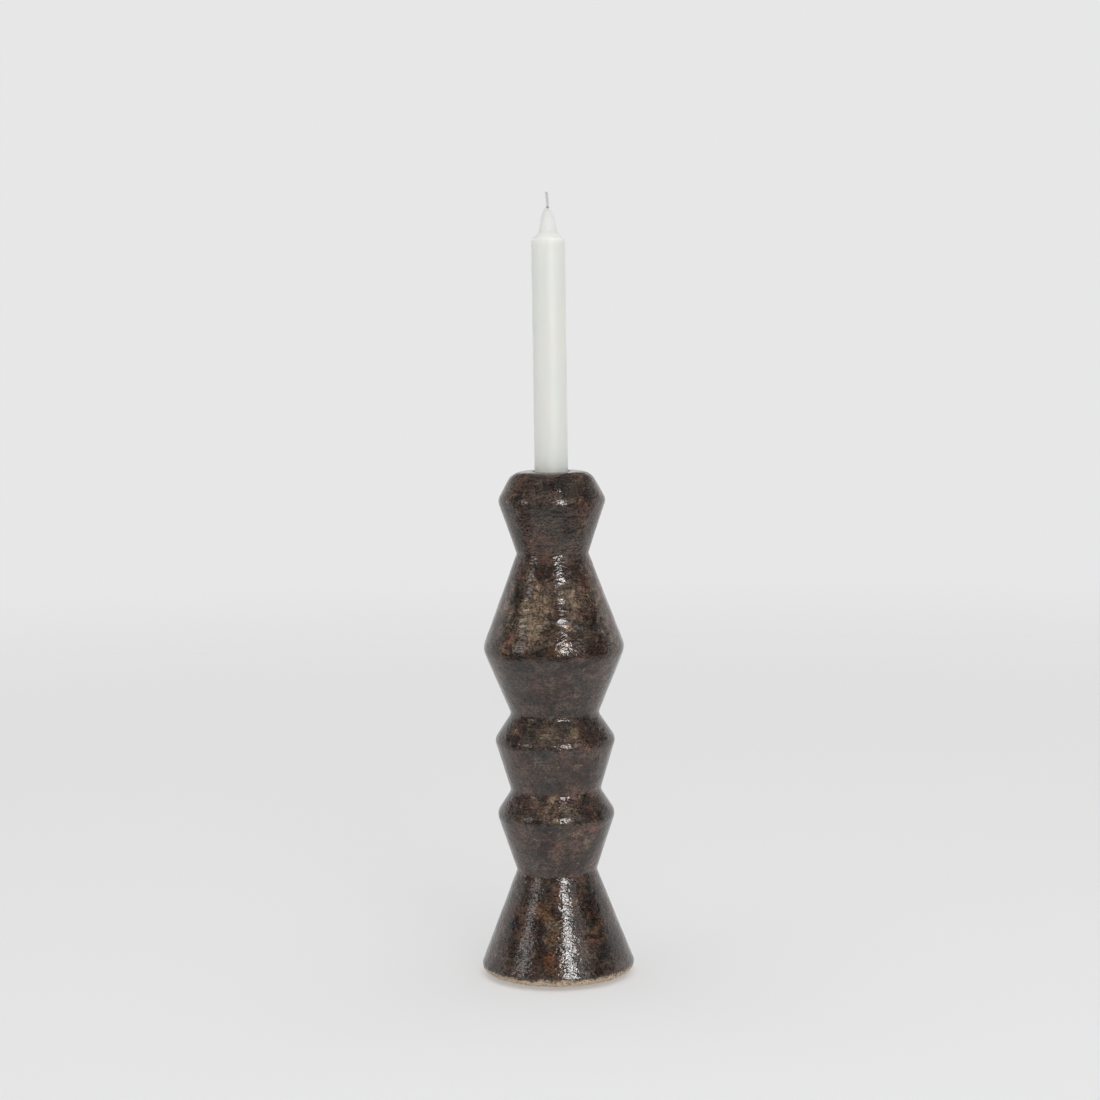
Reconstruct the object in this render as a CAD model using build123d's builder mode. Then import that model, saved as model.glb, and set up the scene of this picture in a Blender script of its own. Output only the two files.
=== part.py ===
from build123d import *
import os

# A turned candlestick with a candle in its socket, in millimetres, +Z up.
# The origin is the centre of the felt pad's underside, on the turning axis.
# Five turned blocks stand on each other and are parted at the four waists.

# The turned outline's corners from the floor up: diameter, height, rounding
standing_ring_d, standing_ring_z, standing_ring_rounding = 76.5, 0.5, 1.5
foot_edge_d, foot_edge_z, foot_edge_rounding = 104.5, 4.0, 6.5
foot_waist_d, foot_waist_z, foot_waist_rounding = 53.0, 70.5, 5.5
lower_ring_d, lower_ring_z, lower_ring_rounding = 79.0, 109.5, 8.0
ring_waist_d, ring_waist_z, ring_waist_rounding = 59.5, 124.5, 5.0
upper_ring_d, upper_ring_z, upper_ring_rounding = 80.5, 159.0, 7.0
belly_waist_d, belly_waist_z, belly_waist_rounding = 58.0, 176.0, 4.5
belly_d, belly_z, belly_rounding = 94.5, 220.0, 12.0
neck_waist_d, neck_waist_z, neck_waist_rounding = 47.5, 282.5, 2.5
head_ridge_d, head_ridge_z, head_ridge_rounding = 71.5, 318.0, 7.0
head_top_d, head_top_z, head_top_rounding = 51.5, 335.5, 11.0

# Felt pad in its recess under the foot
felt_d = 71.0
felt_thickness = 2.0
felt_recess_d = 72.0

# Dowels: the glue gap is all round the dowel, the end gap is at each end of its hole
dowel_d = 15.0
dowel_chamfer = 1.2
dowel_reach = 22.0
neck_dowel_reach_up = 10.0
glue_gap = 0.05
end_gap = 1.0
flute_count = 24
flute_depth = 0.4
flute_r = 0.7

# Candle, with its foot tapered a little to enter the cup
candle_d = 22.0
candle_length = 190.0
candle_foot_d = 21.4
candle_foot_rounding = 0.8
shoulder_drop = 19.8
shoulder_rounding = 0.8
neck_of_tip_d, neck_of_tip_drop, neck_of_tip_rounding = 11.4, 15.7, 4.0
nose_d, nose_drop, nose_rounding = 8.6, 5.5, 9.0
tip_d, tip_rounding = 3.8, 0.5
wick_d = 2.0
wick_gap = 0.03
wick_showing = 10.7
wick_end_rounding = 0.6

# Steel cup that lines the socket, with a dimple in its floor for the screw's head
socket_depth = 17.5
cup_bore_d = 23.5
cup_wall = 0.5
cup_rim_below_top = 1.2
cup_outer_rounding = 1.3
cup_inner_rounding = 0.8
cup_to_wood_gap = 0.05
dimple_d = 7.2
dimple_depth = 2.0
socket_lip_rounding = 1.0

# Countersunk screw
screw_head_d = 6.9
screw_head_below_floor = 0.1
screw_d = 3.0
screw_core_d = 2.1
screw_length = 13.0
screw_point = 2.6
screw_plain_shank = 3.0
thread_pitch = 1.2
thread_crest = 0.15
thread_runout = 0.4
screw_hole_gap = 0.1
recess_width = 0.8
recess_span = 3.6
recess_depth = 1.2

# Levels and sizes that follow from the sizes above
candle_foot_z = head_top_z - socket_depth
candle_tip_z = candle_foot_z + candle_length
cup_floor_z = candle_foot_z
cup_seat_z = cup_floor_z - cup_wall
cup_outer_r = cup_bore_d / 2 + cup_wall
half_right_angle_slant = 2**0.5


def outline_between(low_z, high_z):
    """The half section of the turned outline between two levels."""
    corners = [
        (0, standing_ring_z),
        (standing_ring_d / 2, standing_ring_z),
        (foot_edge_d / 2, foot_edge_z),
        (foot_waist_d / 2, foot_waist_z),
        (lower_ring_d / 2, lower_ring_z),
        (ring_waist_d / 2, ring_waist_z),
        (upper_ring_d / 2, upper_ring_z),
        (belly_waist_d / 2, belly_waist_z),
        (belly_d / 2, belly_z),
        (neck_waist_d / 2, neck_waist_z),
        (head_ridge_d / 2, head_ridge_z),
        (head_top_d / 2, head_top_z),
        (0, head_top_z),
    ]
    roundings = [
        standing_ring_rounding,
        foot_edge_rounding,
        foot_waist_rounding,
        lower_ring_rounding,
        ring_waist_rounding,
        upper_ring_rounding,
        belly_waist_rounding,
        belly_rounding,
        neck_waist_rounding,
        head_ridge_rounding,
        head_top_rounding,
    ]
    with BuildSketch(Plane.XZ) as half_section:
        with BuildLine():
            FilletPolyline(*corners, radius=roundings)
            Line(corners[-1], corners[0])
        make_face()
        with Locations((foot_edge_d / 4, (low_z + high_z) / 2)):
            Rectangle(foot_edge_d / 2, high_z - low_z, mode=Mode.INTERSECT)
    return half_section.sketch


def dowel_hole(mouth, reach):
    """Cuts a blind dowel hole into the part being built, from the plane of its mouth."""
    with Locations(mouth):
        Hole(dowel_d / 2 + glue_gap, depth=reach + end_gap)


def make_foot_block():
    with BuildPart() as foot_block:
        revolve(outline_between(standing_ring_z, foot_waist_z), axis=Axis.Z)
        with Locations(-Plane.XY.offset(standing_ring_z)):
            Hole(felt_recess_d / 2, depth=felt_thickness - standing_ring_z)
        dowel_hole(Plane.XY.offset(foot_waist_z), dowel_reach)
    foot_block.part.label = "foot_block"
    export_step(foot_block.part, "parts/foot_block.step")


def make_double_cone(name, low_z, high_z, reach_at_top):
    """A block between two waists, with a dowel hole at each end."""
    with BuildPart() as double_cone:
        revolve(outline_between(low_z, high_z), axis=Axis.Z)
        dowel_hole(-Plane.XY.offset(low_z), dowel_reach)
        dowel_hole(Plane.XY.offset(high_z), reach_at_top)
    double_cone.part.label = name
    export_step(double_cone.part, f"parts/{name}.step")


def make_head_block():
    screw_pocket_d = dimple_d + 2 * (cup_wall * half_right_angle_slant - cup_wall) + 2 * cup_to_wood_gap
    screw_hole_depth = screw_length + screw_hole_gap - cup_wall
    with BuildPart() as head_block:
        revolve(outline_between(neck_waist_z, head_top_z), axis=Axis.Z)
        with Locations((0, 0, head_top_z)):
            Hole(cup_outer_r + cup_to_wood_gap, depth=head_top_z - cup_seat_z)
        lip = head_block.edges().group_by(Axis.Z)[-1].sort_by(SortBy.RADIUS)[0]
        fillet(lip, socket_lip_rounding)
        with Locations((0, 0, cup_seat_z)):
            CounterSinkHole(
                screw_d / 2 + screw_hole_gap,
                screw_pocket_d / 2,
                depth=screw_hole_depth,
                counter_sink_angle=90,
            )
        dowel_hole(-Plane.XY.offset(neck_waist_z), neck_dowel_reach_up)
    head_block.part.label = "head_block"
    export_step(head_block.part, "parts/head_block.step")


def make_dowel(name, waist_z, reach_up, reach_down):
    """A fluted dowel across one waist, chamfered at both ends."""
    low_z = waist_z - reach_down
    high_z = waist_z + reach_up
    dowel_r = dowel_d / 2
    with BuildPart() as dowel:
        with BuildSketch(Plane.XZ):
            with BuildLine():
                Polyline(
                    (0, low_z),
                    (dowel_r - dowel_chamfer, low_z),
                    (dowel_r, low_z + dowel_chamfer),
                    (dowel_r, high_z - dowel_chamfer),
                    (dowel_r - dowel_chamfer, high_z),
                    (0, high_z),
                    close=True,
                )
            make_face()
        revolve(axis=Axis.Z)
        with BuildSketch(Plane.XY.offset(low_z)):
            with PolarLocations(dowel_r + flute_r - flute_depth, flute_count):
                Circle(flute_r)
        extrude(amount=high_z - low_z, mode=Mode.SUBTRACT)
    dowel.part.label = name
    export_step(dowel.part, f"parts/{name}.step")


def make_candle_cup():
    bore_r = cup_bore_d / 2
    rim_z = head_top_z - cup_rim_below_top
    dimple_r = dimple_d / 2
    dimple_outer_r = dimple_r + cup_wall * half_right_angle_slant
    with BuildPart() as candle_cup:
        with BuildSketch(Plane.XZ):
            with BuildLine():
                FilletPolyline(
                    (dimple_r, cup_floor_z),
                    (bore_r, cup_floor_z),
                    (bore_r, rim_z),
                    radius=cup_inner_rounding,
                )
                Line((bore_r, rim_z), (cup_outer_r, rim_z))
                FilletPolyline(
                    (cup_outer_r, rim_z),
                    (cup_outer_r, cup_seat_z),
                    (dimple_outer_r - cup_wall, cup_seat_z),
                    radius=cup_outer_rounding,
                )
                Polyline(
                    (dimple_outer_r - cup_wall, cup_seat_z),
                    (dimple_outer_r - dimple_depth, cup_floor_z - dimple_depth),
                    (dimple_r - dimple_depth, cup_floor_z - dimple_depth),
                    (dimple_r, cup_floor_z),
                )
            make_face()
        revolve(axis=Axis.Z)
    candle_cup.part.label = "candle_cup"
    export_step(candle_cup.part, "parts/candle_cup.step")


def make_cup_screw():
    """A countersunk wood screw; its thread is a row of ridges."""
    top_z = cup_floor_z - screw_head_below_floor
    head_r, shank_r, core_r = screw_head_d / 2, screw_d / 2, screw_core_d / 2
    shank_end_z = top_z - (head_r - shank_r) - screw_plain_shank
    point_z = top_z - screw_length
    outline = [(0, top_z), (head_r, top_z), (shank_r, top_z - (head_r - shank_r)), (shank_r, shank_end_z)]
    ridge_count = int((shank_end_z - thread_runout - point_z - screw_point) / thread_pitch)
    for ridge in range(ridge_count):
        root_z = shank_end_z - thread_runout - ridge * thread_pitch
        crest_z = root_z - thread_pitch / 2
        outline += [(core_r, root_z), (shank_r, crest_z), (shank_r, crest_z - thread_crest)]
    outline += [(core_r, point_z + screw_point), (0, point_z)]
    with BuildPart() as cup_screw:
        with BuildSketch(Plane.XZ):
            with BuildLine():
                Polyline(*outline, close=True)
            make_face()
        revolve(axis=Axis.Z)
        with BuildSketch(Plane.XY.offset(top_z)):
            Rectangle(recess_span, recess_width)
            Rectangle(recess_width, recess_span)
        extrude(amount=-recess_depth, mode=Mode.SUBTRACT)
    cup_screw.part.label = "cup_screw"
    export_step(cup_screw.part, "parts/cup_screw.step")


def make_felt_pad():
    with BuildPart() as felt_pad:
        with BuildSketch(Plane.XY):
            Circle(felt_d / 2)
        extrude(amount=felt_thickness)
    felt_pad.part.label = "felt_pad"
    export_step(felt_pad.part, "parts/felt_pad.step")


def make_candle():
    hole_r = wick_d / 2 + wick_gap
    candle_r = candle_d / 2
    with BuildPart() as candle:
        with BuildSketch(Plane.XZ):
            with BuildLine():
                FilletPolyline(
                    (hole_r, candle_foot_z),
                    (candle_foot_d / 2, candle_foot_z),
                    (candle_r, head_top_z),
                    radius=candle_foot_rounding,
                )
                FilletPolyline(
                    (candle_r, head_top_z),
                    (candle_r, candle_tip_z - shoulder_drop),
                    (neck_of_tip_d / 2, candle_tip_z - neck_of_tip_drop),
                    (nose_d / 2, candle_tip_z - nose_drop),
                    (tip_d / 2, candle_tip_z),
                    (hole_r, candle_tip_z),
                    radius=[shoulder_rounding, neck_of_tip_rounding, nose_rounding, tip_rounding],
                )
                Line((hole_r, candle_tip_z), (hole_r, candle_foot_z))
            make_face()
        revolve(axis=Axis.Z)
    candle.part.label = "candle"
    export_step(candle.part, "parts/candle.step")


def make_wick():
    with BuildPart() as wick:
        with BuildSketch(Plane.XY.offset(candle_foot_z)):
            Circle(wick_d / 2)
        extrude(amount=candle_length + wick_showing)
        fillet(wick.edges().group_by(Axis.Z)[-1], wick_end_rounding)
    wick.part.label = "wick"
    export_step(wick.part, "parts/wick.step")


os.makedirs("parts", exist_ok=True)
make_foot_block()
make_double_cone("lower_ring_block", foot_waist_z, ring_waist_z, dowel_reach)
make_double_cone("upper_ring_block", ring_waist_z, belly_waist_z, dowel_reach)
make_double_cone("belly_block", belly_waist_z, neck_waist_z, dowel_reach)
make_head_block()
make_dowel("foot_dowel", foot_waist_z, dowel_reach, dowel_reach)
make_dowel("ring_dowel", ring_waist_z, dowel_reach, dowel_reach)
make_dowel("belly_dowel", belly_waist_z, dowel_reach, dowel_reach)
make_dowel("neck_dowel", neck_waist_z, neck_dowel_reach_up, dowel_reach)
make_candle_cup()
make_cup_screw()
make_felt_pad()
make_candle()
make_wick()
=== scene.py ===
import math

import bmesh
import bpy
from mathutils import Matrix, Vector


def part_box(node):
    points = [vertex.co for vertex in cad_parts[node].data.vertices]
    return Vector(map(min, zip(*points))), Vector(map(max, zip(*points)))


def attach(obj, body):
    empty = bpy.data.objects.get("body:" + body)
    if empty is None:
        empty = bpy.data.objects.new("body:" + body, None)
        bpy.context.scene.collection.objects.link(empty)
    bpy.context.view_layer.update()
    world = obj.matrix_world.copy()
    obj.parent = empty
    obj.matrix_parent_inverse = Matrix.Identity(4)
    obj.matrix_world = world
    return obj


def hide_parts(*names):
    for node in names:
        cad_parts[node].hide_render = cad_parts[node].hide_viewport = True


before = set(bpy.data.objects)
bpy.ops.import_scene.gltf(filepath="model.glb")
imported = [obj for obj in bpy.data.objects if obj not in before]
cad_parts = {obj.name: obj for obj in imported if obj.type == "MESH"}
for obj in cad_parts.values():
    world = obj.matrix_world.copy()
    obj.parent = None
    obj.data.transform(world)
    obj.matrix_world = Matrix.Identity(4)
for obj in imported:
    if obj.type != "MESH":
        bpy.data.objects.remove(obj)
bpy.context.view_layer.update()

MM = 0.001
AROUND = 240  # faces round a turned block
ROW = 0.45  # height of a row of faces, in millimetres

# The turned outline's corners from the floor up: diameter, height and rounding in millimetres
STANDING_RING = (76.5, 0.5, 1.5)
FOOT_EDGE = (104.8, 4.0, 5.0)
FOOT_WAIST = (53.0, 70.5, 5.5)
LOWER_RING = (79.0, 109.5, 8.0)
RING_WAIST = (59.5, 124.5, 5.0)
UPPER_RING = (80.5, 159.0, 7.0)
BELLY_WAIST = (58.0, 176.0, 4.5)
BELLY = (94.5, 220.0, 12.0)
NECK_WAIST = (47.5, 282.5, 2.5)
HEAD_RIDGE = (71.5, 318.0, 7.0)
HEAD_TOP = (51.5, 336.6, 11.0)

# Joinery, socket, candle and wick, in millimetres
DOWEL_HOLE_R = 7.55
DOWEL_HOLE_DEPTH = 23.0
NECK_HOLE_DEPTH_UP = 11.0
FELT_RECESS_R = 36.0
FELT_RECESS_Z = 2.0
SOCKET_R = 12.3
SOCKET_Z = 317.5
SOCKET_LIP = 1.0
SCREW_POCKET_R = 3.857
SCREW_HOLE_R = 1.6
SCREW_HOLE_Z = 304.9
WICK_HOLE_R = 1.03
WAX_ON_WICK_R = 0.75
CANDLE_D = 22.0
CANDLE_FOOT_D = 21.4
STRAND_R = 0.49
STRAND_OFFSET = 0.50
TWIST_PITCH = 7.0


# ---------------------------------------------------------------- turning in mesh

def rounded_run(corners):
    """Stations (radius, height, extra rows) along straight runs and arcs through corners given as
    (diameter, height, rounding). The first and last corners are only ends."""
    points = [Vector((d / 2, z)) for d, z, rounding in corners]
    stations = [(points[0].x, points[0].y, 0)]
    for before, here, after, (_, _, rounding) in zip(points, points[1:], points[2:], corners[1:]):
        back, on = (before - here).normalized(), (after - here).normalized()
        opening = back.angle(on)
        start = here + back * (rounding / math.tan(opening / 2))
        end = here + on * (rounding / math.tan(opening / 2))
        run = (start - Vector(stations[-1][:2])).length
        stations.append((start.x, start.y, max(0, round(run / ROW) - 1)))
        if rounding:
            centre = here + (back + on).normalized() * (rounding / math.sin(opening / 2))
            turn = math.pi - opening
            steps = max(2, math.ceil(rounding * turn / ROW))
            for step in range(1, steps + 1):
                s = step / steps
                arm = (start - centre) * math.sin((1 - s) * turn) + (end - centre) * math.sin(s * turn)
                place = centre + arm / math.sin(turn)
                stations.append((place.x, place.y, 0))
    run = (points[-1] - Vector(stations[-1][:2])).length
    return stations + [(points[-1].x, points[-1].y, max(0, round(run / ROW) - 1))]


def above(stations, level):
    """The stations from the first crossing of a level on, with one on the level itself."""
    for i, ((r0, z0, _), (r1, z1, _)) in enumerate(zip(stations, stations[1:])):
        if z0 <= level < z1:
            r = r0 + (r1 - r0) * (level - z0) / (z1 - z0)
            return [(r, level, 0), (r1, z1, 0)] + stations[i + 2:]
    raise ValueError(f"the outline doesn't cross {level} mm")


def below(stations, level):
    """The stations up to the first crossing of a level, with one on the level itself."""
    for i, ((r0, z0, _), (r1, z1, _)) in enumerate(zip(stations, stations[1:])):
        if z0 < level <= z1:
            r = r0 + (r1 - r0) * (level - z0) / (z1 - z0)
            return stations[:i + 1] + [(r, level, 0)]
    raise ValueError(f"the outline doesn't cross {level} mm")


def select_edges_between(mesh, first, second):
    """Selects only the edges that run from one station to the next."""
    bpy.ops.mesh.select_mode(type="EDGE")
    bpy.ops.mesh.select_all(action="DESELECT")
    work = bmesh.from_edit_mesh(mesh)

    def at(vert, station):
        radius, height = station[0] * MM, station[1] * MM
        return (abs(math.hypot(vert.co.x, vert.co.y) - radius) < 1e-6
                and abs(vert.co.z - height) < 1e-6)

    for edge in work.edges:
        a, b = edge.verts
        edge.select_set((at(a, first) and at(b, second)) or (at(b, first) and at(a, second)))
    bmesh.update_edit_mesh(mesh)


def turn_on_lathe(name, stations, around=AROUND, solid=True):
    """A turned piece, from rings extruded and resized from station to station. A solid one is closed
    by a flat face at each end; a hollow one ends on the ring that it started from."""
    bpy.ops.object.select_all(action="DESELECT")
    radius, height, _ = stations[0]
    bpy.ops.mesh.primitive_circle_add(
        vertices=around,
        radius=radius * MM,
        fill_type="NGON" if solid else "NOTHING",
        location=(0, 0, height * MM),
    )
    bpy.ops.object.transform_apply(location=True, rotation=False, scale=False)
    piece = bpy.context.object
    piece.name = piece.data.name = name
    bpy.ops.object.mode_set(mode="EDIT")
    bpy.ops.mesh.select_all(action="SELECT")
    for r, z, _ in stations[1:]:
        step = {"value": (0, 0, (z - height) * MM)}
        if solid:
            bpy.ops.mesh.extrude_region_move(TRANSFORM_OT_translate=step)
        else:
            bpy.ops.mesh.extrude_edges_move(TRANSFORM_OT_translate=step)
        bpy.ops.transform.resize(value=(r / radius, r / radius, 1), center_override=(0, 0, z * MM))
        radius, height = r, z
    for first, second in zip(stations, stations[1:]):
        if second[2]:
            select_edges_between(piece.data, first, second)
            bpy.ops.mesh.subdivide_edgering(number_cuts=second[2], interpolation="LINEAR")
    bpy.ops.mesh.select_all(action="SELECT")
    if not solid:
        bpy.ops.mesh.remove_doubles(threshold=1e-6)
    bpy.ops.mesh.normals_make_consistent(inside=False)
    bpy.ops.object.mode_set(mode="OBJECT")
    return piece


def smooth(piece, angle):
    """Smooth shading that breaks at edges sharper than an angle in degrees."""
    bpy.ops.object.select_all(action="DESELECT")
    piece.select_set(True)
    bpy.context.view_layer.objects.active = piece
    bpy.ops.object.shade_smooth_by_angle(angle=math.radians(angle))


def weigh(piece, name, weight):
    """A vertex group whose weights are a function of radius and height in millimetres."""
    group = piece.vertex_groups.new(name=name)
    for vert in piece.data.vertices:
        value = weight(math.hypot(vert.co.x, vert.co.y) / MM, vert.co.z / MM)
        if value > 0:
            group.add([vert.index], min(1, value), "REPLACE")
    return name


def work_over(piece, group, depth, size, level=0.5, **settings):
    """Works the surface in and out by depth millimetres, with a cloudy pattern of the given size in
    millimetres along x, y and z."""
    pattern = bpy.data.textures.new(group + "_pattern", "CLOUDS")
    pattern.noise_scale = 1.0
    for key, setting in settings.items():
        setattr(pattern, key, setting)
    scale = bpy.data.objects.new("pattern_scale", None)
    bpy.context.scene.collection.objects.link(scale)
    scale.scale = [s * MM for s in size]
    bpy.context.view_layer.update()
    bpy.ops.object.select_all(action="DESELECT")
    piece.select_set(True)
    bpy.context.view_layer.objects.active = piece
    wave = piece.modifiers.new("worked", "DISPLACE")
    wave.texture = pattern
    wave.texture_coords = "OBJECT"
    wave.texture_coords_object = scale
    wave.vertex_group = group
    wave.strength = depth * MM
    wave.mid_level = level
    bpy.ops.object.modifier_apply(modifier=wave.name)
    bpy.data.objects.remove(scale)
    bpy.data.textures.remove(pattern)


def levels(node):
    """Lowest and highest level of a CAD node, in millimetres."""
    low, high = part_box(node)
    return low[2] / MM, high[2] / MM


# ---------------------------------------------------------------- shader maths

class Dial:
    """A quantity that varies over a finish. Arithmetic on it adds Math nodes."""

    def __init__(self, finish, socket):
        self.finish = finish
        self.socket = socket

    def combine(self, operation, *terms):
        """A Math node over this quantity and others."""
        return self.finish.node("Math", {"operation": operation}, dict(enumerate(terms)))

    def __add__(self, other):
        return self.combine("ADD", self, other)

    __radd__ = __add__

    def __sub__(self, other):
        return self.combine("SUBTRACT", self, other)

    def __rsub__(self, other):
        return self.combine("SUBTRACT", other, self)

    def __mul__(self, other):
        return self.combine("MULTIPLY", self, other)

    __rmul__ = __mul__

    def __truediv__(self, other):
        return self.combine("DIVIDE", self, other)

    def between(self, low, high):
        """0 at low and 1 at high, with soft ends; low may be the larger."""
        return self.finish.node(
            "MapRange",
            {"interpolation_type": "SMOOTHSTEP"},
            {"Value": self, "From Min": low, "From Max": high},
        )

    def or_more(self, other):
        """The larger of two."""
        return self.combine("MAXIMUM", self, other)


class Finish:
    """One material, and the ways of adding nodes to it."""

    def __init__(self, name, owner=None, **constants):
        self.material = owner or bpy.data.materials.new(name)
        self.material.use_nodes = True
        self.tree = self.material.node_tree
        self.shader = self.tree.nodes.get("Principled BSDF")
        for key, value in constants.items():
            self.plug(self.shader.inputs[key.replace("_", " ")], value)
        self.place = self.node("TexCoord", {}, {}, "Object")

    def plug(self, socket, value):
        """Links a Dial to a socket, or sets the socket to a constant."""
        if isinstance(value, Dial):
            self.tree.links.new(value.socket, socket)
        else:
            socket.default_value = value

    def node(self, kind, settings, sockets, output=0):
        """Any node: its type, its settings, the values or links of its sockets, and the output used."""
        node = self.tree.nodes.new("ShaderNode" + kind)
        for key, setting in settings.items():
            setattr(node, key, setting)
        for key, value in sockets.items():
            self.plug(node.inputs[key], value)
        return Dial(self, node.outputs[output])

    def axis(self, letter):
        """One coordinate of the surface, in metres."""
        return self.node("SeparateXYZ", {}, {"Vector": self.place}, letter.upper())

    def stretched(self, size, stretch, shift):
        """Coordinates scaled for features of this size in millimetres."""
        scale = tuple(1 / (size * MM * s) for s in stretch)
        return self.node("Mapping", {}, {"Vector": self.place, "Location": shift, "Scale": scale})

    def clouds(self, size, stretch=(1, 1, 1), detail=3, roughness=0.55, shift=(0, 0, 0), warp=0):
        """Soft noise from 0 to 1, with features of this size in millimetres."""
        spot = self.stretched(size, stretch, shift)
        sockets = {
            "Vector": spot,
            "Scale": 1,
            "Detail": detail,
            "Roughness": roughness,
            "Distortion": warp,
        }
        return self.node("TexNoise", {}, sockets)

    def cells(self, size, shift=(0, 0, 0)):
        """Distance from the middle of the nearest of many scattered spots this far apart."""
        spot = self.stretched(size, (1, 1, 1), shift)
        return self.node("TexVoronoi", {}, {"Vector": spot, "Scale": 1, "Randomness": 1}, "Distance")

    def blend(self, amount, under, over, way="MIX"):
        """One colour over another, by an amount."""
        settings = {"data_type": "RGBA", "blend_type": way}
        return self.node("Mix", settings, {0: amount, 6: under, 7: over}, 2)

    def wear(self, **sockets):
        """Links what varies to the shader's sockets."""
        for key, value in sockets.items():
            self.plug(self.shader.inputs[key.replace("_", " ")], value)

    def relief(self, height):
        """Bump from a height in metres."""
        self.wear(Normal=self.node("Bump", {}, {"Strength": 1, "Distance": 1, "Height": height}))


def colour(r, g, b):
    """An opaque linear colour."""
    return (r, g, b, 1)


UMBER = colour(0.030, 0.020, 0.017)
WARM_BROWN = colour(0.077, 0.044, 0.034)
OLIVE_TAN = colour(0.180, 0.128, 0.086)
COOL_GREY = colour(0.044, 0.044, 0.036)
RUST = colour(0.150, 0.055, 0.036)
# Near-black, for dark stain and for painted dark reflection
DARK_STAIN_AND_PAINTED_REFLECTION = colour(0.012, 0.010, 0.010)
AMBER = colour(0.128, 0.060, 0.028)
BUFF = colour(0.680, 0.520, 0.360)
PALE_FLECK = colour(0.300, 0.215, 0.160)

# Patches of the stain on the camera's side, the dark ones mostly painted dark reflection: across,
# height, reach and how far up it runs, millimetres
TAN_PATCHES = [
    (-15, 246, 13, 1.9), (10, 256, 9, 0.8), (9, 238, 4, 1.0), (2, 167, 16, 0.6),
    (-17, 173, 7, 0.6), (14, 145, 4, 1.0), (0, 116, 15, 0.5), (21, 95, 6, 1.0),
    (7, 101, 8, 0.4), (-4, 38, 8, 2.4),
]
RUST_PATCHES = [
    (-28, 230, 6, 2.0), (19, 264, 8, 0.8), (-20, 269, 5, 0.6), (-7, 48, 5, 1.0),
    (-6, 23, 5, 1.0), (-2, 60, 8, 1.0), (-2, 92, 7, 1.2), (24, 103, 5, 0.8),
]
AMBER_PATCHES = [
    (-10, 50, 8, 2.2), (-5, 18, 7, 1.5), (26, 40, 9, 1.4), (3, 225, 9, 0.7), (-3, 36, 10, 1.5),
]
# The dark patches are mostly painted dark reflection, in the bands beside the glints, under the ridges
# and on the cones' sides where the gloss would mirror the dark room; the rest are dark stain
PAINTED_REFLECTION_AND_DARK_STAIN_PATCHES = [
    (-25, 257, 6, 1.6), (30, 234, 9, 2.0), (17, 277, 6, 0.7), (-30, 38, 7, 1.4),
    (21, 62, 9, 1.6), (30, 30, 13, 2.0), (-9, 315, 20, 0.32), (5, 327, 14, 0.6),
    (-24, 320, 7, 0.6), (27, 321, 7, 0.8), (-27, 217, 9, 0.5), (31, 220, 10, 0.8),
    (14, 213, 9, 0.3), (-28, 163, 7, 0.7), (31, 162, 8, 0.7), (-8, 156, 11, 0.3),
    (-28, 113, 8, 0.7), (31, 112, 8, 0.7), (20, 122, 7, 0.5), (-8, 106, 11, 0.3),
]


def outline_radius(height):
    """Radius of the sharp-cornered outline at a height, in millimetres."""
    corners = [FOOT_EDGE, FOOT_WAIST, LOWER_RING, RING_WAIST, UPPER_RING, BELLY_WAIST,
               BELLY, NECK_WAIST, HEAD_RIDGE, HEAD_TOP]
    for (d0, z0, _), (d1, z1, _) in zip(corners, corners[1:]):
        if z0 <= height <= z1:
            return (d0 + (d1 - d0) * (height - z0) / (z1 - z0)) / 2
    return HEAD_TOP[0] / 2


def patchwork(finish, patches, ragged):
    """1 within the patches and 0 away from them, with ragged edges."""
    total = None
    for across, height, reach, tall in patches:
        radius = outline_radius(height)
        deep = -math.sqrt(radius * radius - across * across)
        centre = tuple(v * MM for v in (across, deep, height))
        offset = finish.node("VectorMath", {"operation": "SUBTRACT"}, {0: finish.place, 1: centre})
        squeeze = (1, 1, 1 / tall)
        squeezed = finish.node("VectorMath", {"operation": "MULTIPLY"}, {0: offset, 1: squeeze})
        distance = finish.node("VectorMath", {"operation": "LENGTH"}, {0: squeezed}, "Value")
        patch = (distance / (reach * MM) + ragged).between(1.25, 0.35)
        total = patch if total is None else total.or_more(patch)
    return total


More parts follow.
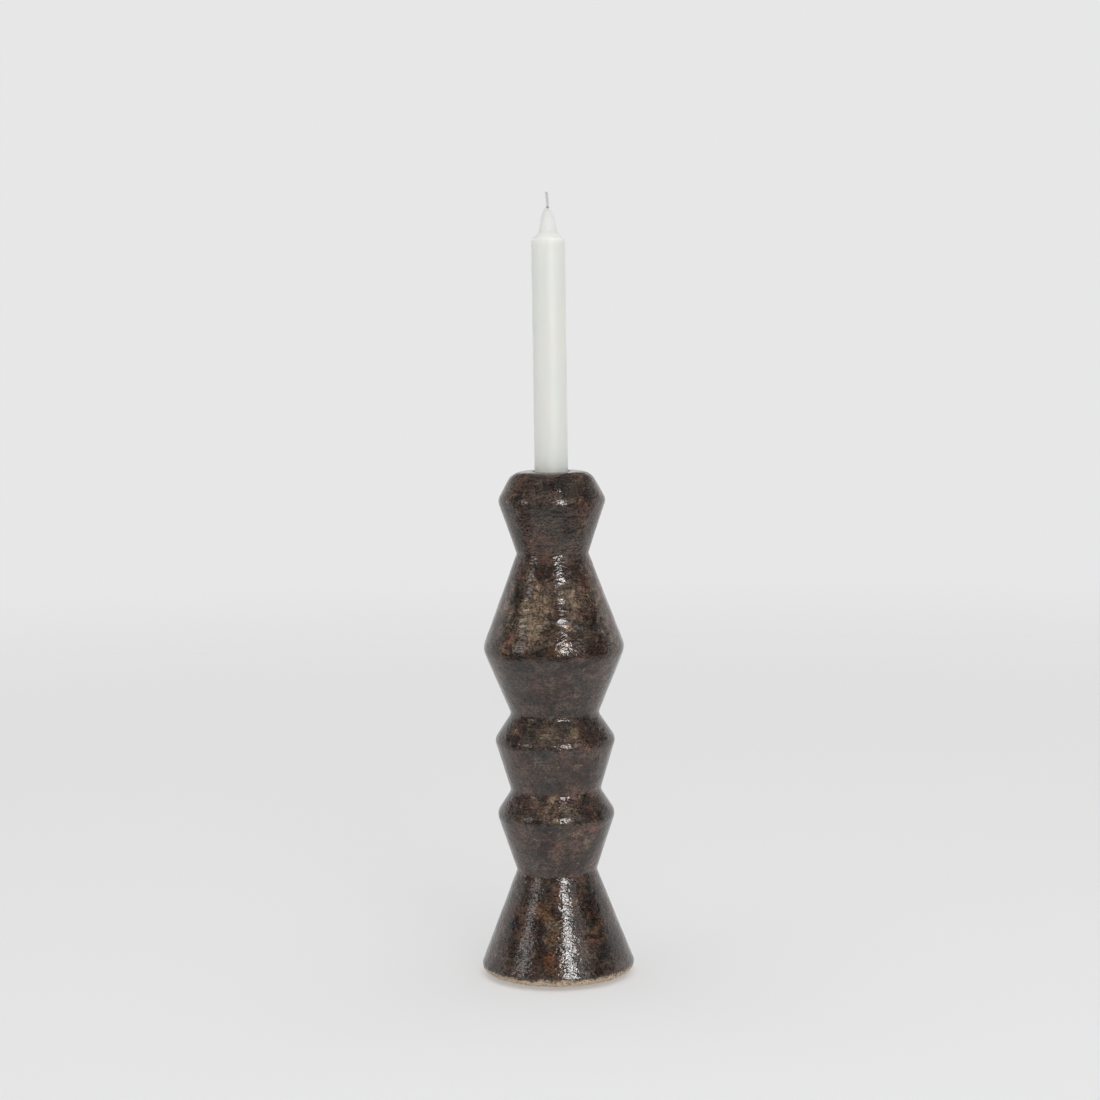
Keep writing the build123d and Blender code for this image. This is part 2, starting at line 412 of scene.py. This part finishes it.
def make_stained_gloss():
    """Mottled dark stain under a hard gloss, with painted dark reflections beside the glints and along
    the ridges, rubbed through to pale wood along the foot's edge.
    """
    finish = Finish("stained_gloss", IOR=1.5)
    height = finish.axis("z") / MM
    ragged = (finish.clouds(6, detail=5, roughness=0.7) - 0.5) * 3.0
    lines = finish.clouds(3.2, stretch=(6, 6, 0.35), detail=4, roughness=0.65, shift=(3, 0, 0))
    fine = finish.clouds(1.1, stretch=(1.3, 1.3, 0.9), detail=3, roughness=0.75, shift=(0, 7, 0))
    coarse = finish.clouds(3.6, detail=4, roughness=0.7, shift=(6, 2, 5))

    warmth = finish.clouds(13, stretch=(1.3, 1.3, 1), detail=6, roughness=0.7, warp=0.5)
    skin = finish.blend(warmth.between(0.36, 0.66), UMBER, WARM_BROWN)

    rust = finish.clouds(9, detail=6, roughness=0.72, shift=(11, 4, 2), warp=0.7)
    rust = rust + patchwork(finish, RUST_PATCHES, ragged) * 0.15
    skin = finish.blend(rust.between(0.59, 0.79) * 0.75, skin, RUST)

    tan_zone = height.between(210, 232) * height.between(278, 262)
    tan = finish.clouds(8, detail=7, roughness=0.75, shift=(5, 9, 1), warp=0.6)
    tan = tan + tan_zone * 0.08 + patchwork(finish, TAN_PATCHES, ragged) * 0.15
    skin = finish.blend(tan.between(0.54, 0.76) * 0.9, skin, OLIVE_TAN)

    amber = finish.clouds(9, detail=6, roughness=0.7, shift=(1, 1, 12), warp=0.6)
    amber = amber + patchwork(finish, AMBER_PATCHES, ragged) * 0.17
    skin = finish.blend(amber.between(0.57, 0.75) * 0.8, skin, AMBER)

    # Dark stain in random clouds, plus painted dark reflection where the dark patches lie
    dark_stain_and_painted_reflection = finish.clouds(10, detail=6, roughness=0.7, shift=(2, 13, 6), warp=0.6)
    dark_stain_and_painted_reflection = dark_stain_and_painted_reflection + patchwork(finish, PAINTED_REFLECTION_AND_DARK_STAIN_PATCHES, ragged) * 0.17
    skin = finish.blend(dark_stain_and_painted_reflection.between(0.55, 0.72) * 0.85, skin, DARK_STAIN_AND_PAINTED_REFLECTION)

    cool = finish.clouds(20, detail=5, roughness=0.6, shift=(14, 2, 7), warp=0.5).between(0.42, 0.58)
    skin = finish.blend(cool * 0.38, skin, COOL_GREY)

    depth = finish.clouds(15, detail=3, roughness=0.6, shift=(3, 17, 2), warp=0.4).between(0.35, 0.62)
    mottle = fine.between(0.39, 0.61) * 1.05 + coarse.between(0.37, 0.63) * 0.55
    mottle = mottle + lines.between(0.34, 0.66) * 0.45 + 0.06
    mottle = mottle * (depth * 0.60 + 0.70)
    skin = finish.blend(1.0, skin, mottle, "MULTIPLY")

    fleck_spot = finish.cells(4.6, shift=(1, 1, 1)) + (fine - 0.5) * 0.9
    fleck_chosen = finish.clouds(7, detail=1, shift=(8, 1, 4)).between(0.58, 0.68)
    flecks = fleck_spot.between(0.22, 0.06) * fleck_chosen
    skin = finish.blend(flecks * 0.7, skin, PALE_FLECK)

    rub_edge = finish.clouds(3.2, stretch=(2.2, 2.2, 1), detail=6, roughness=0.75, shift=(4, 4, 9))
    rubbed = (height + (rub_edge - 0.5) * 8).between(8.2, 5.8)
    nicks = finish.clouds(1.4, detail=3, roughness=0.7, shift=(6, 2, 8))
    nicked = (nicks - rubbed * 0.14).between(0.56, 0.42)
    from_waist = finish.node("Math", {"operation": "ABSOLUTE"}, {0: height - FOOT_WAIST[1]})
    waist_rub = from_waist.between(3.0, 0.8) * rub_edge.between(0.60, 0.68)
    bare = (rubbed * nicked).or_more(waist_rub * 0.8)
    pale = finish.blend(fine.between(0.3, 0.6), WARM_BROWN, BUFF)
    skin = finish.blend(bare, skin, pale)

    haze = finish.clouds(5, detail=4, roughness=0.6, shift=(7, 7, 3)).between(0.3, 0.75)
    calm_zone = height.between(225, 236) * height.between(273, 263)
    gloss = haze * 0.08 + fine * 0.04 + 0.04 + bare * 0.4

    peel = finish.clouds(1.8, stretch=(1.5, 1.5, 0.8), detail=2, roughness=0.5, shift=(2, 5, 5))
    swell = finish.clouds(6, stretch=(1.4, 1.4, 0.8), detail=1, shift=(9, 3, 3))
    grain = finish.clouds(0.6, detail=2, roughness=0.6, shift=(3, 8, 1))
    skin_height = peel * (1.0 - calm_zone * 0.78) * (0.42 * MM) + swell * (0.30 * MM)
    finish.relief(skin_height + grain * (0.03 * MM) - bare * (0.10 * MM))
    finish.wear(Base_Color=skin, Roughness=gloss)
    return finish.material


def make_bare_beech():
    """Unstained beech: fine grain along the axis, short dark rays and a sawn roughness."""
    finish = Finish("bare_beech", Roughness=0.62)
    grain = finish.clouds(1.2, stretch=(1, 1, 14), detail=5, roughness=0.6)
    broad = finish.clouds(9, stretch=(1, 1, 5), detail=3, shift=(4, 1, 0))
    rays = finish.clouds(0.7, stretch=(1, 1, 5), detail=2, shift=(8, 3, 1)).between(0.60, 0.72)
    dark_grain, light_grain = colour(0.36, 0.22, 0.13), colour(0.56, 0.38, 0.25)
    wood = finish.blend(grain.between(0.3, 0.7), dark_grain, light_grain)
    wood = finish.blend(broad.between(0.35, 0.7) * 0.5, wood, colour(0.47, 0.29, 0.18))
    wood = finish.blend(rays * 0.6, wood, colour(0.21, 0.11, 0.06))
    finish.relief(grain * (0.06 * MM) + rays * (-0.04 * MM))
    finish.wear(Base_Color=wood)
    return finish.material


def make_blackened_steel():
    """The cup: spun steel, blackened, with fine rings and rubbed spots."""
    finish = Finish("blackened_steel", Metallic=1.0)
    rings = finish.clouds(0.35, stretch=(60, 60, 1), detail=3, shift=(1, 2, 3))
    spots = finish.clouds(4, detail=5, roughness=0.65, shift=(5, 5, 1))
    black, rubbed = colour(0.055, 0.052, 0.050), colour(0.17, 0.16, 0.15)
    skin = finish.blend(spots.between(0.45, 0.72), black, rubbed)
    finish.relief(rings * (0.03 * MM) + spots * (0.05 * MM))
    finish.wear(Base_Color=skin, Roughness=spots * 0.25 + 0.28)
    return finish.material


def make_bright_screw_steel():
    """The screw: zinc-plated steel, a little dulled."""
    finish = Finish("zinc_plated_steel", Metallic=1.0)
    dull = finish.clouds(1.4, detail=4, roughness=0.6)
    scratch = finish.clouds(0.3, stretch=(1, 12, 1), detail=3, shift=(2, 1, 4))
    bright, tarnished = colour(0.62, 0.62, 0.60), colour(0.38, 0.37, 0.33)
    skin = finish.blend(dull.between(0.4, 0.7), bright, tarnished)
    finish.relief(scratch * (0.02 * MM))
    finish.wear(Base_Color=skin, Roughness=dull * 0.3 + 0.16)
    return finish.material


def make_felt_wool():
    """Pressed wool felt: matted fibres in two browns."""
    finish = Finish("pressed_wool", Roughness=1.0, Sheen_Weight=0.35, Sheen_Roughness=0.5)
    mat = finish.clouds(0.5, stretch=(1, 5, 2), detail=6, roughness=0.7, warp=1.5)
    across = finish.clouds(0.5, stretch=(5, 1, 2), detail=6, roughness=0.7, shift=(4, 2, 2), warp=1.5)
    lumps = finish.clouds(4, detail=4, roughness=0.6, shift=(1, 6, 2))
    fibres = mat.or_more(across)
    dark_wool, light_wool = colour(0.020, 0.014, 0.010), colour(0.085, 0.062, 0.046)
    skin = finish.blend(fibres.between(0.45, 0.75), dark_wool, light_wool)
    skin = finish.blend(lumps.between(0.4, 0.7) * 0.5, skin, colour(0.050, 0.040, 0.033))
    finish.relief(fibres * (0.30 * MM) + lumps * (0.25 * MM))
    finish.wear(Base_Color=skin)
    return finish.material


def make_candle_wax():
    """Off-white wax with a soft depth, faintly clouded, with a dull bloom."""
    finish = Finish(
        "candle_wax",
        Subsurface_Weight=1.0,
        Subsurface_Radius=(1.0, 0.95, 0.85),
        Subsurface_Scale=0.008,
        IOR=1.44,
    )
    clouding = finish.clouds(14, stretch=(1, 1, 2.5), detail=4, roughness=0.6)
    bloom = finish.clouds(3, stretch=(1, 1, 2), detail=5, roughness=0.65, shift=(3, 3, 3))
    cool_wax, warm_wax = colour(0.76, 0.775, 0.745), colour(0.79, 0.785, 0.745)
    wax = finish.blend(clouding.between(0.35, 0.7), cool_wax, warm_wax)
    ripple = finish.clouds(9, stretch=(1, 1, 3), detail=2, shift=(1, 4, 2))
    finish.relief(ripple * (0.25 * MM) + bloom * (0.03 * MM))
    finish.wear(Base_Color=wax, Roughness=bloom * 0.25 + 0.34)
    return finish.material


def make_waxed_cotton():
    """The wick: white cotton yarn with a skin of wax."""
    finish = Finish("waxed_cotton", Subsurface_Weight=0.4, Subsurface_Scale=0.001)
    yarn = finish.clouds(0.25, stretch=(1, 1, 5), detail=4, roughness=0.65)
    waxy = finish.clouds(1.6, detail=3, shift=(2, 2, 6)).between(0.4, 0.65)
    shaded, lit = colour(0.56, 0.55, 0.55), colour(0.74, 0.73, 0.71)
    skin = finish.blend(yarn.between(0.35, 0.7), shaded, lit)
    skin = finish.blend(waxy * 0.4, skin, colour(0.70, 0.70, 0.66))
    finish.relief(yarn * (0.05 * MM))
    finish.wear(Base_Color=skin, Roughness=0.85 - waxy * 0.3)
    return finish.material


stained_gloss = make_stained_gloss()
bare_beech = make_bare_beech()
blackened_steel = make_blackened_steel()
zinc_plated_steel = make_bright_screw_steel()
pressed_wool = make_felt_wool()
candle_wax = make_candle_wax()
waxed_cotton = make_waxed_cotton()


# ---------------------------------------------------------------- turned blocks

# The uneven hand-turned surface: depth, and size along x, y and z, in millimetres
TOOL_WAVES = [(0.34, (15, 15, 13)), (0.12, (7, 7, 5)), (0.055, (6, 6, 1.5))]
FLAT = 0.99


def finish_block(piece, node, is_bare, weight):
    """The hand-turned surface, the two finishes and the place of one block."""
    group = weigh(piece, "worked_surface", weight)
    for depth, size in TOOL_WAVES:
        work_over(piece, group, depth, size, noise_depth=1)
    piece.data.materials.append(stained_gloss)
    piece.data.materials.append(bare_beech)
    for face in piece.data.polygons:
        middle = face.center / MM
        if is_bare(math.hypot(middle.x, middle.y), middle.z, abs(face.normal.z)):
            face.material_index = 1
    smooth(piece, 35)
    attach(piece, "candlestick")
    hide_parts(node)


def turn_double_cone(name, node, corners):
    """A block between two waists, with a blind dowel hole at each end."""
    low, high = levels(node)
    side = below(above(rounded_run(corners), low), high)
    path = [(DOWEL_HOLE_R, low + DOWEL_HOLE_DEPTH, 0), (DOWEL_HOLE_R, low, 0)]
    path += side
    path += [(DOWEL_HOLE_R, high, 0), (DOWEL_HOLE_R, high - DOWEL_HOLE_DEPTH, 0)]
    piece = turn_on_lathe(name, path)

    def is_bare(r, z, flat):
        return r < DOWEL_HOLE_R + 0.1 or (flat > FLAT and (z < low + 0.01 or z > high - 0.01))

    def weight(r, z):
        return min((z - low - 0.2) / 4, (high - 0.2 - z) / 4, r - DOWEL_HOLE_R - 1)

    finish_block(piece, node, is_bare, weight)


def turn_foot():
    """The wide foot, with the felt's recess under it and a dowel hole in its top."""
    low, high = levels("foot_block")
    corners = [(2 * FELT_RECESS_R, low, 0), STANDING_RING, FOOT_EDGE, FOOT_WAIST, LOWER_RING]
    side = below(rounded_run(corners), high)
    path = [(8, FELT_RECESS_Z, 0), (FELT_RECESS_R, FELT_RECESS_Z, 0)]
    path += side
    path += [(DOWEL_HOLE_R, high, 0), (DOWEL_HOLE_R, high - DOWEL_HOLE_DEPTH, 0)]
    piece = turn_on_lathe("turned_foot", path)
    chipped = weigh(piece, "chipped_edge", lambda r, z: min(r - 39, (8 - z) / 4))
    work_over(piece, chipped, -0.45, (4, 4, 2.2), level=0.0, noise_depth=3, contrast=3.0)

    def is_bare(r, z, flat):
        in_dowel_hole = r < DOWEL_HOLE_R + 0.1
        in_recess = r < FELT_RECESS_R and z < FELT_RECESS_Z + 0.1
        return in_dowel_hole or in_recess or (flat > FLAT and z > high - 0.01)

    def weight(r, z):
        return min((z - 2.2) / 3, (high - 0.2 - z) / 4, r - DOWEL_HOLE_R - 1)

    finish_block(piece, "foot_block", is_bare, weight)
    return piece


def turn_head():
    """The head, with the socket bored in its top and the screw's pocket in the socket's floor."""
    low = levels("head_block")[0]
    rim = HEAD_TOP[1]
    corners = [BELLY, NECK_WAIST, HEAD_RIDGE, HEAD_TOP, (2 * SOCKET_R, rim, SOCKET_LIP)]
    side = above(rounded_run(corners + [(2 * SOCKET_R, SOCKET_Z, 0)]), low)
    slope = SCREW_POCKET_R - SCREW_HOLE_R
    path = [(DOWEL_HOLE_R, low + NECK_HOLE_DEPTH_UP, 0), (DOWEL_HOLE_R, low, 0)]
    path += side
    path += [(SCREW_POCKET_R, SOCKET_Z, 0), (SCREW_HOLE_R, SOCKET_Z - slope, 0)]
    path += [(SCREW_HOLE_R, SCREW_HOLE_Z, 0)]
    piece = turn_on_lathe("turned_head", path)

    def is_bare(r, z, flat):
        in_socket = r < SOCKET_R - 0.01 and z < rim - SOCKET_LIP
        return in_socket or (flat > FLAT and z < low + 0.01)

    def weight(r, z):
        return min((z - low - 0.2) / 4, (r - SOCKET_R - 1) / 3)

    finish_block(piece, "head_block", is_bare, weight)


# ---------------------------------------------------------------- candle, wick and felt

def make_candle():
    """A poured candle: tapered foot, straight shank, shouldered tip and the wick's hole."""
    low, high = levels("candle")
    seat = levels("head_block")[1]
    corners = [
        (2 * WICK_HOLE_R, low, 0),
        (CANDLE_FOOT_D, low, 0.8),
        (CANDLE_D, seat, 0),
        (CANDLE_D, high - 19.8, 0.8),
        (12.4, high - 15.9, 5.0),
        (8.4, high - 5.0, 9.0),
        (4.2, high + 0.05, 0.7),
        (2.4, high + 0.15, 0.6),
        (1.8, high + 1.1, 0),
    ]
    most_rows = 60
    stations = [(r, z, min(rows, most_rows)) for r, z, rows in rounded_run(corners)]
    stations += [(WAX_ON_WICK_R, high + 0.9, 0), (WAX_ON_WICK_R, high - 0.4, 0)]
    stations += [(WICK_HOLE_R, high - 1.2, 0), (WICK_HOLE_R, low, 0)]
    candle = turn_on_lathe("poured_candle", stations, around=96, solid=False)

    def weight(r, z):
        return min((z - seat - 1) / 12, (high - 1 - z) / 8, (r - 2) / 2)

    group = weigh(candle, "poured_surface", weight)
    work_over(candle, group, 0.30, (11, 11, 38), noise_depth=1)
    work_over(candle, group, 0.08, (4, 4, 9), noise_depth=1)
    candle.data.materials.append(candle_wax)
    smooth(candle, 40)
    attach(candle, "candle")
    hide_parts("candle")


def make_wick():
    """Three yarns, straight inside the candle, then twisted and leaning a little at the end."""
    low, high = levels("wick")
    twist_from = levels("candle")[1] - 8
    steps = 96
    rise = (high - twist_from) / steps
    leaning_length, end_lean = 10.5, -0.55
    yarns = []
    for yarn_number in range(3):
        start = 2 * math.pi * yarn_number / 3
        bpy.ops.object.select_all(action="DESELECT")
        bpy.ops.mesh.primitive_circle_add(
            vertices=14,
            radius=STRAND_R * MM,
            fill_type="NGON",
            location=(
                STRAND_OFFSET * MM * math.cos(start),
                STRAND_OFFSET * MM * math.sin(start),
                low * MM,
            ),
        )
        bpy.ops.object.transform_apply(location=True, rotation=False, scale=False)
        yarn = bpy.context.object
        bpy.ops.object.mode_set(mode="EDIT")
        bpy.ops.mesh.select_all(action="SELECT")
        bpy.ops.mesh.extrude_region_move(
            TRANSFORM_OT_translate={"value": (0, 0, (twist_from - low) * MM)})
        axis_x = 0.0
        for step in range(1, steps + 1):
            height = twist_from + rise * step
            shown = max(0.0, height - (high - leaning_length))
            lean = end_lean * (shown / leaning_length) ** 2
            bpy.ops.mesh.extrude_region_move(
                TRANSFORM_OT_translate={"value": ((lean - axis_x) * MM, 0, rise * MM)})
            axis_x = lean
            bpy.ops.transform.rotate(
                value=2 * math.pi * rise / TWIST_PITCH,
                orient_axis="Z",
                center_override=(axis_x * MM, 0, height * MM),
            )
        work = bmesh.from_edit_mesh(yarn.data)
        end_places = [v.co for v in work.verts if v.select]
        end = sum(end_places, Vector()) / len(end_places)
        bpy.ops.transform.resize(value=(0.72, 0.72, 1), center_override=end)
        bpy.ops.mesh.select_all(action="SELECT")
        bpy.ops.mesh.normals_make_consistent(inside=False)
        bpy.ops.object.mode_set(mode="OBJECT")
        yarns.append(yarn)
    bpy.ops.object.select_all(action="DESELECT")
    for yarn in yarns:
        yarn.select_set(True)
    bpy.context.view_layer.objects.active = yarns[0]
    bpy.ops.object.join()
    wick = yarns[0]
    wick.name = wick.data.name = "twisted_wick"
    wick.data.materials.append(waxed_cotton)
    smooth(wick, 60)
    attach(wick, "candle")
    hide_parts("wick")


def make_felt():
    """A disc cut from pressed felt, a little crushed, with a soft edge."""
    low, high = levels("felt_pad")
    across = (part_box("felt_pad")[1][0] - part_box("felt_pad")[0][0]) / MM
    corners = [
        (4, low + 0.06, 0),
        (across - 0.4, low + 0.06, 0.7),
        (across - 0.2, (low + high) / 2, 2.0),
        (across - 0.6, high - 0.08, 0.7),
        (4, high - 0.08, 0),
    ]
    felt = turn_on_lathe("felt_disc", rounded_run(corners), around=160)
    group = weigh(felt, "pressed_surface", lambda r, z: 1.0 if r > 5 else 0.0)
    work_over(felt, group, 0.10, (6, 6, 6), noise_depth=3)
    felt.data.materials.append(pressed_wool)
    smooth(felt, 50)
    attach(felt, "candlestick")
    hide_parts("felt_pad")


def repaint(node, material):
    """A CAD node that keeps its shape and takes a better finish."""
    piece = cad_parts[node]
    piece.data.materials.clear()
    piece.data.materials.append(material)


foot = turn_foot()
lower_ring = [FOOT_EDGE, FOOT_WAIST, LOWER_RING, RING_WAIST, UPPER_RING]
upper_ring = [LOWER_RING, RING_WAIST, UPPER_RING, BELLY_WAIST, BELLY]
belly = [UPPER_RING, BELLY_WAIST, BELLY, NECK_WAIST, HEAD_RIDGE]
turn_double_cone("turned_lower_ring", "lower_ring_block", lower_ring)
turn_double_cone("turned_upper_ring", "upper_ring_block", upper_ring)
turn_double_cone("turned_belly", "belly_block", belly)
turn_head()
make_candle()
make_wick()
make_felt()
for dowel in ("foot_dowel", "ring_dowel", "belly_dowel", "neck_dowel"):
    repaint(dowel, bare_beech)
repaint("candle_cup", blackened_steel)
repaint("cup_screw", zinc_plated_steel)


# ---------------------------------------------------------------- camera

def place_camera():
    """An 80 mm lens a little above the head, tipped down, and rolled by under a degree."""
    lens = 80.36
    side, back, height = -1.64 * MM, -1613.2 * MM, 442.5 * MM
    tipped_down = math.radians(5.595)
    roll = math.radians(-0.839)
    data = bpy.data.cameras.new("camera")
    data.lens = lens
    data.clip_start = 0.05
    data.clip_end = 20
    camera = bpy.data.objects.new("camera", data)
    bpy.context.scene.collection.objects.link(camera)
    turn = Matrix.Rotation(math.pi / 2 - tipped_down, 3, "X") @ Matrix.Rotation(roll, 3, "Z")
    camera.rotation_euler = turn.to_euler()
    camera.location = (side, back, height)
    bpy.context.scene.camera = camera


# ---------------------------------------------------------------- studio

AIM = Vector((0, 0, 0.2))


def softbox(name, azimuth, elevation, distance, width, height, radiance):
    """A rectangular soft light that faces a point on the object's axis. Azimuth 0 is the camera's."""
    a, e = math.radians(azimuth), math.radians(elevation)
    towards = Vector((math.sin(a) * math.cos(e), -math.cos(a) * math.cos(e), math.sin(e)))
    data = bpy.data.lights.new(name, "AREA")
    data.shape = "RECTANGLE"
    data.size = width
    data.size_y = height
    data.energy = radiance * width * height * math.pi
    light = bpy.data.objects.new(name, data)
    bpy.context.scene.collection.objects.link(light)
    light.location = AIM + towards * distance
    light.rotation_euler = towards.to_track_quat("Z", "Y").to_euler()
    return light


def glint(light):
    """Leaves a light only its reflections, so that its diffuse share can come from softer lights."""
    light.visible_diffuse = False
    light.visible_transmission = False


def bounce(light):
    """Keeps a light out of reflections."""
    light.visible_glossy = False


def light_room():
    """A pale room below and all round the horizon, and dark above."""
    world = bpy.data.worlds.new("room")
    world.use_nodes = True
    room = Finish("room", world)
    height = room.node("SeparateXYZ", {}, {"Vector": room.node("TexCoord", {}, {}, "Generated")}, "Z")
    horizon = height.between(0.37, 0.27) * 0.66
    room.plug(world.node_tree.nodes["Background"].inputs["Color"], horizon + 0.14)
    bpy.context.scene.world = world


def light_studio():
    """Three lights for the gloss, from front right, left and right, and two for the soft share."""
    light_room()
    glint(softbox("key", 19, 18.0, 2.0, 0.36, 0.88, 25))
    glint(softbox("left_window", -60, 17, 2.0, 0.50, 0.62, 4.8))
    glint(softbox("right_strip", 43, 18, 2.0, 0.30, 0.75, 3))
    bounce(softbox("front_fill", 12, 38, 2.4, 1.5, 1.5, 2.0))
    bounce(softbox("ceiling", 0, 90, 3.0, 6.0, 6.0, 1.12))
    bpy.context.scene.view_settings.view_transform = "Standard"


def build_dark_card():
    """A black card that lies and stands round the camera's side, seen only in the gloss."""
    card_r, card_height, lift, inner_share = 2.15, 1.30, 0.005, 0.2
    bpy.ops.object.select_all(action="DESELECT")
    bpy.ops.mesh.primitive_cylinder_add(
        vertices=96,
        radius=card_r,
        depth=card_height,
        end_fill_type="NOTHING",
        location=(0, 0, card_height / 2 + lift),
    )
    bpy.ops.object.transform_apply(location=True, rotation=False, scale=False)
    card = bpy.context.object
    card.name = "dark_card"
    bpy.ops.object.mode_set(mode="EDIT")
    bpy.ops.mesh.select_mode(type="VERT")
    bpy.ops.mesh.select_all(action="DESELECT")
    work = bmesh.from_edit_mesh(card.data)
    for vert in work.verts:
        vert.select_set(vert.co.y > 0.4)
    bmesh.update_edit_mesh(card.data)
    bpy.ops.mesh.delete(type="VERT")
    bpy.ops.mesh.select_mode(type="EDGE")
    work = bmesh.from_edit_mesh(card.data)
    for edge in work.edges:
        edge.select_set(all(v.co.z < 0.1 for v in edge.verts))
    bmesh.update_edit_mesh(card.data)
    bpy.ops.mesh.extrude_edges_move(TRANSFORM_OT_translate={"value": (0, 0, 0)})
    bpy.ops.transform.resize(value=(inner_share, inner_share, 1), center_override=(0, 0, lift))
    bpy.ops.object.mode_set(mode="OBJECT")
    black = Finish("black_card", Base_Color=colour(0.01, 0.01, 0.01), Roughness=1.0)
    card.data.materials.append(black.material)
    card.visible_camera = False
    card.visible_diffuse = False
    card.visible_transmission = False
    card.visible_shadow = False


def build_backdrop():
    """A pale, softly glowing floor that fades into the room's pale horizon."""
    bpy.ops.object.select_all(action="DESELECT")
    bpy.ops.mesh.primitive_circle_add(vertices=128, radius=3.2, fill_type="NGON", location=(0, 0, 0))
    backdrop = bpy.context.object
    backdrop.name = "backdrop"
    paint = Finish(
        "backdrop_paint",
        Base_Color=colour(0.52, 0.52, 0.52),
        Roughness=0.9,
        Emission_Color=colour(1, 1, 1),
        Emission_Strength=0.30,
    )
    away = paint.node("VectorMath", {"operation": "LENGTH"}, {0: paint.place}, "Value")
    paint.wear(Alpha=away.between(2.6, 0.4))
    backdrop.data.materials.append(paint.material)


place_camera()
light_studio()
build_dark_card()
build_backdrop()
